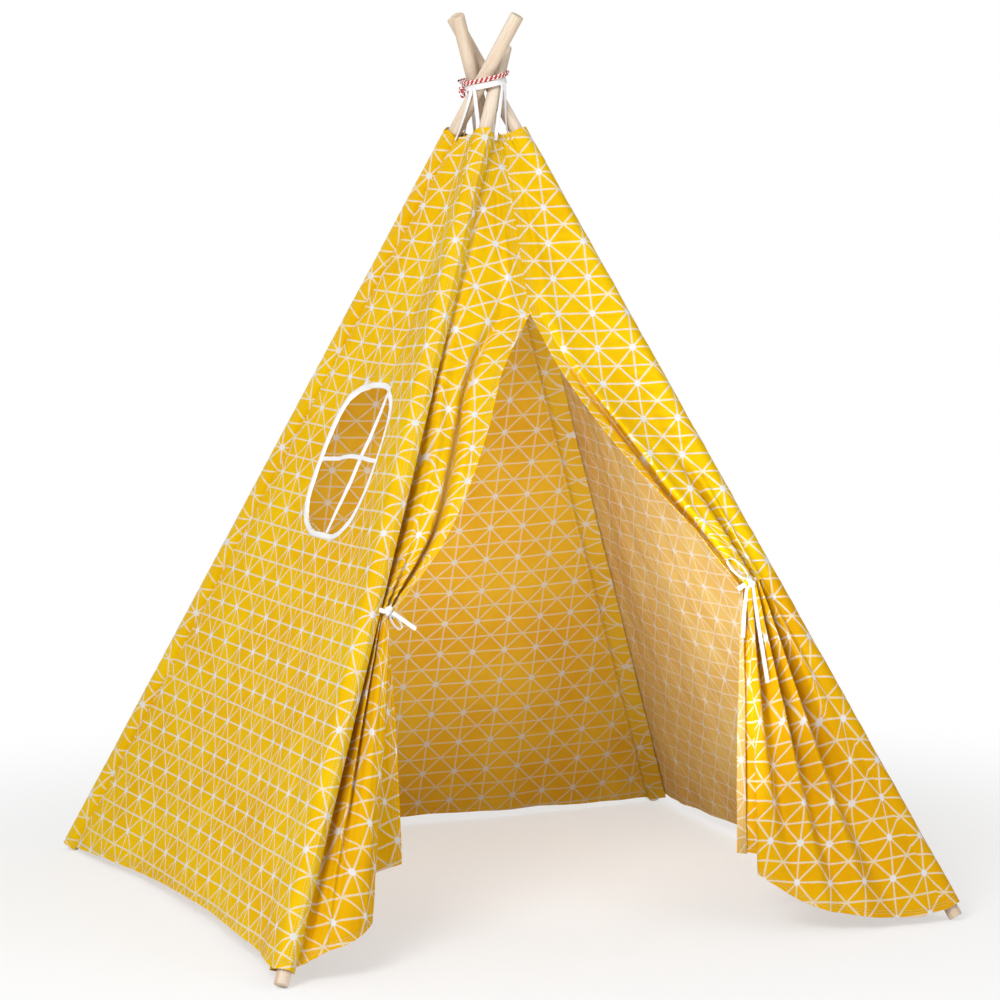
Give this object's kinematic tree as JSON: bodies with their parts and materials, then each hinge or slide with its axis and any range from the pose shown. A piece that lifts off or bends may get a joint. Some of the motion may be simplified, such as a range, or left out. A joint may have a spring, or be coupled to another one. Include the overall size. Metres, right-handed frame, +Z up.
{
  "type": "kids teepee",
  "caption": "Kids teepee: leaning wooden poles lashed at the crossing, patterned cotton cover, side window, front slit with tied-back curtains.",
  "frame": {"origin": "on the floor under the crossing of the poles", "axes": "+Z up, +X to the right seen from the door, -Y out of the door; the window wall is at -X"},
  "size_m": [1.2456, 1.2456, 1.5265],
  "materials": {
    "pole_wood": "bare sanded pine",
    "ferrule": "moulded",
    "cover_cloth": "printed cotton canvas",
    "ribbon": "woven cotton tape",
    "twine": "twisted cotton twine"
  },
  "bodies": {
    "lashing": {"lashing_ribbon": "ribbon", "lashing_twine": "twine", "lashing_knot": "twine"},
    "back_left_pole": {"back_left_ferrule_lower": "ferrule", "back_left_ferrule_upper": "ferrule", "back_left_pole_lower": "pole_wood", "back_left_pole_middle": "pole_wood", "back_left_pole_upper": "pole_wood", "back_left_sleeve": "cover_cloth", "back_left_top_tie_back": "ribbon", "back_left_top_tie_side": "ribbon", "left_wall": "cover_cloth", "window_binding": "ribbon", "window_upright_ribbon": "ribbon", "window_level_ribbon": "ribbon"},
    "front_left_pole": {"front_left_ferrule_lower": "ferrule", "front_left_ferrule_upper": "ferrule", "front_left_pole_lower": "pole_wood", "front_left_pole_middle": "pole_wood", "front_left_pole_upper": "pole_wood", "front_left_sleeve": "cover_cloth", "front_left_top_tie_front": "ribbon", "front_left_top_tie_side": "ribbon", "left_front_panel": "cover_cloth", "left_tie_band": "ribbon", "left_tie_knot": "ribbon", "left_tie_loop": "ribbon", "left_tie_tail": "ribbon"},
    "front_right_pole": {"front_right_ferrule_lower": "ferrule", "front_right_ferrule_upper": "ferrule", "front_right_pole_lower": "pole_wood", "front_right_pole_middle": "pole_wood", "front_right_pole_upper": "pole_wood", "front_right_sleeve": "cover_cloth", "front_right_top_tie_front": "ribbon", "front_right_top_tie_side": "ribbon", "right_wall": "cover_cloth", "right_front_panel": "cover_cloth", "right_tie_band": "ribbon", "right_tie_knot": "ribbon", "right_tie_loop": "ribbon"},
    "back_right_pole": {"back_right_ferrule_lower": "ferrule", "back_right_ferrule_upper": "ferrule", "back_right_pole_lower": "pole_wood", "back_right_pole_middle": "pole_wood", "back_right_pole_upper": "pole_wood", "back_right_sleeve": "cover_cloth", "back_right_top_tie_back": "ribbon", "back_right_top_tie_side": "ribbon", "back_wall": "cover_cloth"},
    "left_door": {"left_door_curtain": "cover_cloth"},
    "right_door": {"right_door_curtain": "cover_cloth", "right_tie_short_tail": "ribbon", "right_tie_long_tail": "ribbon"}
  },
  "joints": [
    {"name": "back_left_fold", "type": "hinge", "parent": "lashing", "child": "back_left_pole", "pos_m": [-0.01449, -0.01449, 1.405], "axis": [-0.7071, -0.7071, 0], "range_deg": [0, 29], "deforming": ["left_wall", "window_binding", "window_upright_ribbon", "window_level_ribbon", "back_left_top_tie_side", "back_left_top_tie_back"]},
    {"name": "front_left_fold", "type": "hinge", "parent": "lashing", "child": "front_left_pole", "pos_m": [0.01449, -0.01449, 1.405], "axis": [0.7071, -0.7071, 0], "range_deg": [0, 29], "deforming": ["left_front_panel", "left_door_curtain", "left_tie_band", "left_tie_knot", "left_tie_loop", "left_tie_tail", "front_left_top_tie_side", "front_left_top_tie_front"]},
    {"name": "front_right_fold", "type": "hinge", "parent": "lashing", "child": "front_right_pole", "pos_m": [0.01449, 0.01449, 1.405], "axis": [0.7071, 0.7071, 0], "range_deg": [0, 29], "deforming": ["right_wall", "right_front_panel", "right_door_curtain", "right_tie_band", "right_tie_knot", "right_tie_loop", "right_tie_short_tail", "right_tie_long_tail", "front_right_top_tie_side", "front_right_top_tie_front"]},
    {"name": "back_right_fold", "type": "hinge", "parent": "lashing", "child": "back_right_pole", "pos_m": [-0.01449, 0.01449, 1.405], "axis": [-0.7071, 0.7071, 0], "range_deg": [0, 29], "deforming": ["back_wall", "back_right_top_tie_side", "back_right_top_tie_back"]},
    {"name": "left_door_swing", "type": "hinge", "parent": "front_left_pole", "child": "left_door", "pos_m": [-0.34978, -0.37877, 0.552], "axis": [-0.3656, -0.3656, -0.856], "range_deg": [0, 35], "deforming": ["left_door_curtain"]},
    {"name": "right_door_swing", "type": "hinge", "parent": "front_right_pole", "child": "right_door", "pos_m": [0.37193, -0.34294, 0.568], "axis": [-0.3656, 0.3656, 0.856], "range_deg": [0, 35], "deforming": ["right_door_curtain", "right_tie_short_tail", "right_tie_long_tail"]}
  ],
  "couplings": [
    {"joint": "front_left_fold", "follows": "back_left_fold", "ratio": 1},
    {"joint": "front_right_fold", "follows": "back_left_fold", "ratio": 1},
    {"joint": "back_right_fold", "follows": "back_left_fold", "ratio": 1}
  ]
}
